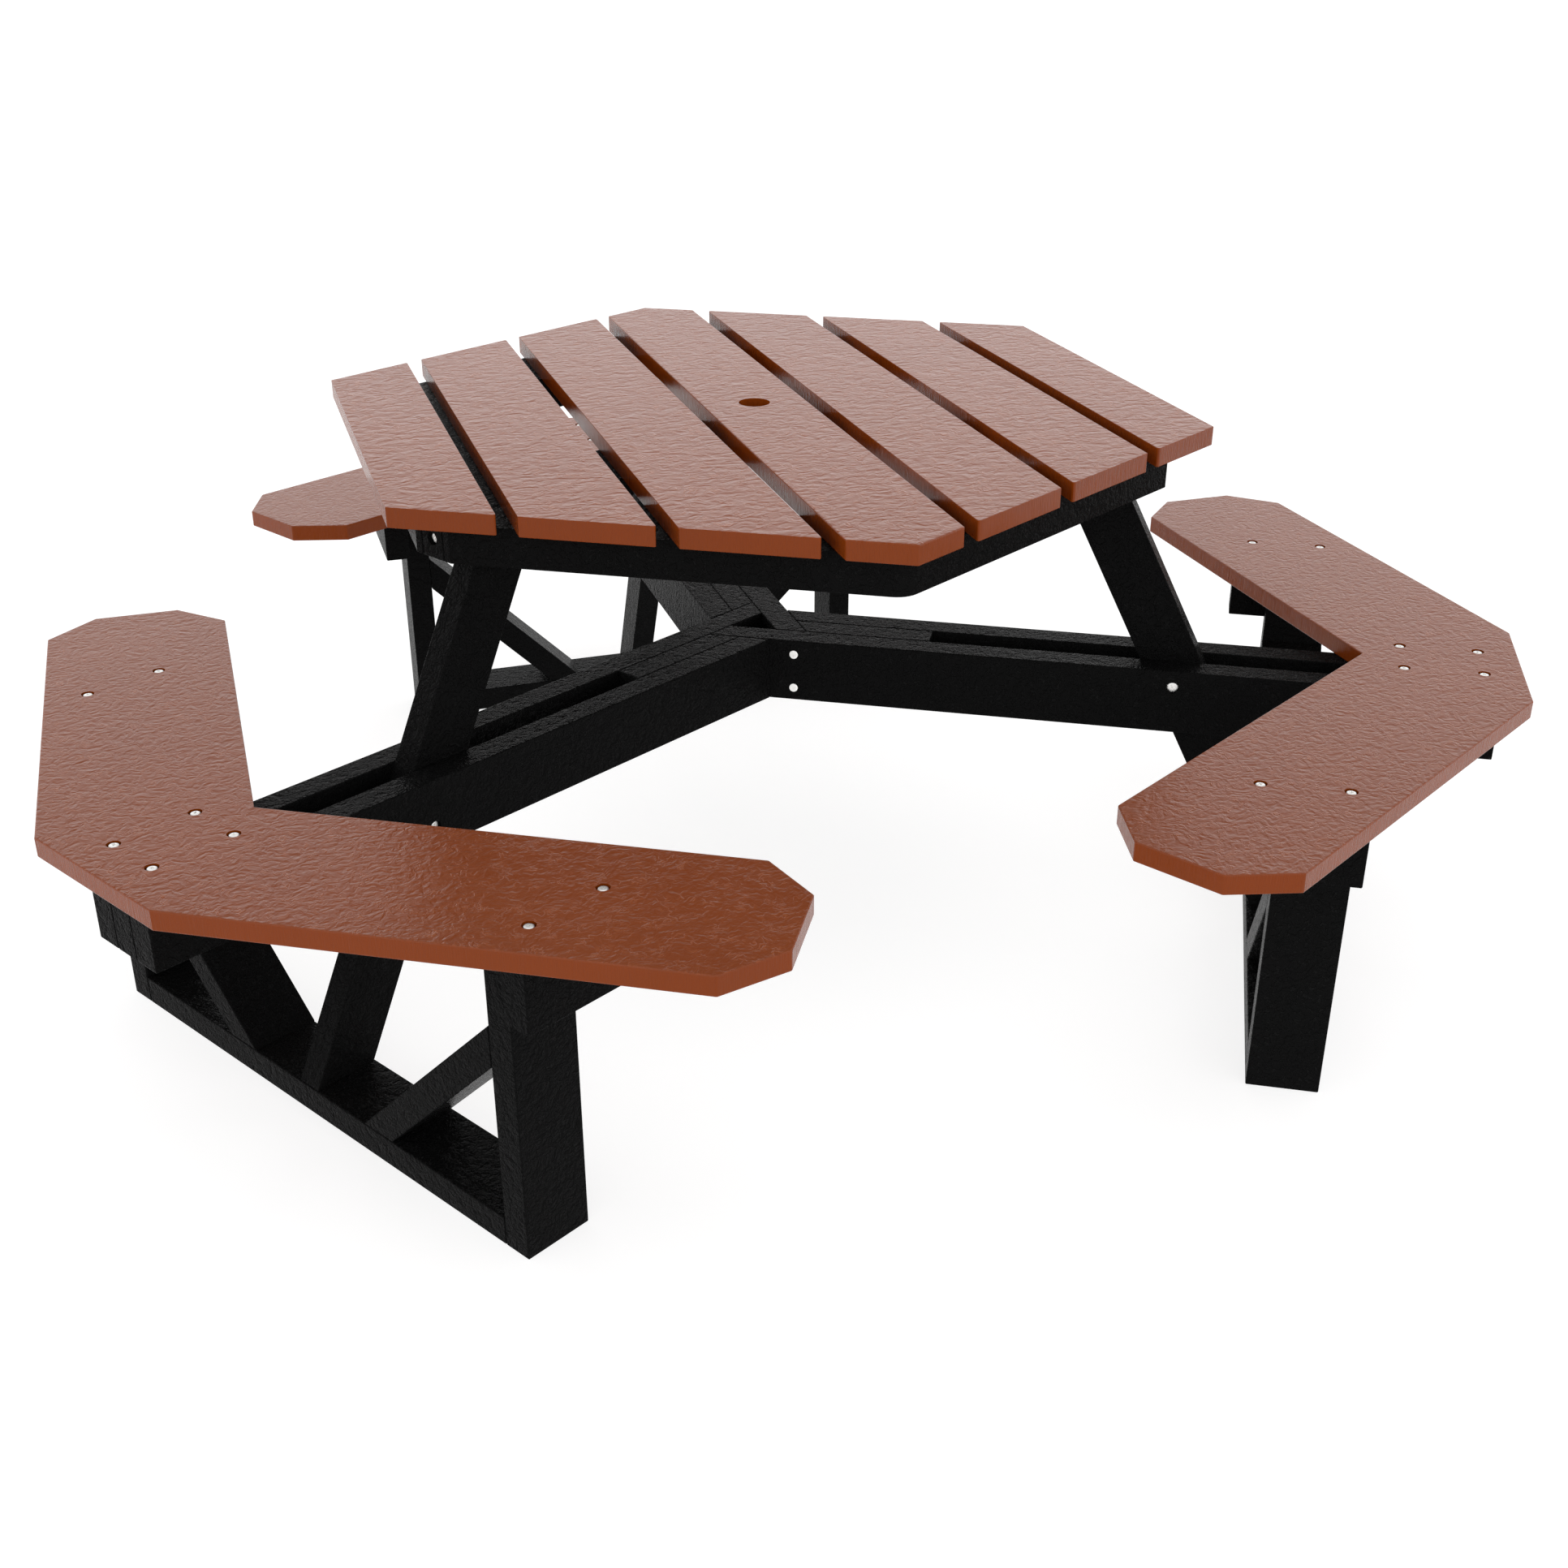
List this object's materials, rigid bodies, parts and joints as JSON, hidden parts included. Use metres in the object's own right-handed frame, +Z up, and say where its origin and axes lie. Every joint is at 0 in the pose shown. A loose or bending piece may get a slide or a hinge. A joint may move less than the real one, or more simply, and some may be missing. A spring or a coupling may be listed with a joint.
{
  "type": "picnic table",
  "caption": "Hexagonal picnic table of brown plastic slats on a black board frame, with three attached V-shaped benches and a central parasol hole.",
  "frame": {"origin": "on the floor under the middle of the table's bounding box; the hub and parasol hole stand 59.4 mm towards -Y of it", "axes": "+Z up; the tabletop's slats run along Y; one arm and its bench run out along +Y, the other two at 120 degrees to it; X completes a right-handed frame"},
  "size_m": [1.896, 1.9369, 0.722],
  "materials": {
    "brown_plastic": "wood-coloured HDPE board with a fine wrinkled grain",
    "black_plastic": "black recycled HDPE board with the same wrinkled grain",
    "stainless_steel": "bright stainless fastener"
  },
  "bodies": {
    "root": {"slat_1": "brown_plastic", "slat_2": "brown_plastic", "slat_3": "brown_plastic", "slat_4": "brown_plastic", "slat_5": "brown_plastic", "slat_6": "brown_plastic", "slat_7": "brown_plastic", "top_rail_1": "black_plastic", "top_rail_2": "black_plastic", "top_rail_3": "black_plastic", "top_batten_1": "black_plastic", "top_batten_2": "black_plastic", "top_batten_3": "black_plastic", "arm_long_1": "black_plastic", "arm_long_2": "black_plastic", "arm_long_3": "black_plastic", "arm_short_1": "black_plastic", "arm_short_2": "black_plastic", "arm_short_3": "black_plastic", "hub_spacer_1": "black_plastic", "hub_spacer_2": "black_plastic", "hub_spacer_3": "black_plastic", "end_spacer_1": "black_plastic", "end_spacer_2": "black_plastic", "end_spacer_3": "black_plastic", "leg_1": "black_plastic", "leg_2": "black_plastic", "leg_3": "black_plastic", "leg_block_1": "black_plastic", "leg_block_2": "black_plastic", "leg_block_3": "black_plastic", "leg_bolt_1": "stainless_steel", "leg_bolt_2": "stainless_steel", "leg_bolt_3": "stainless_steel", "seat_1": "brown_plastic", "seat_2": "brown_plastic", "seat_3": "brown_plastic", "sill_1": "black_plastic", "sill_2": "black_plastic", "sill_3": "black_plastic", "post_left_1": "black_plastic", "post_left_2": "black_plastic", "post_left_3": "black_plastic", "post_right_1": "black_plastic", "post_right_2": "black_plastic", "post_right_3": "black_plastic", "brace_left_1": "black_plastic", "brace_left_2": "black_plastic", "brace_left_3": "black_plastic", "brace_right_1": "black_plastic", "brace_right_2": "black_plastic", "brace_right_3": "black_plastic", "seat_beam_left_1": "black_plastic", "seat_beam_left_2": "black_plastic", "seat_beam_left_3": "black_plastic", "seat_beam_right_1": "black_plastic", "seat_beam_right_2": "black_plastic", "seat_beam_right_3": "black_plastic"}
  },
  "joints": []
}
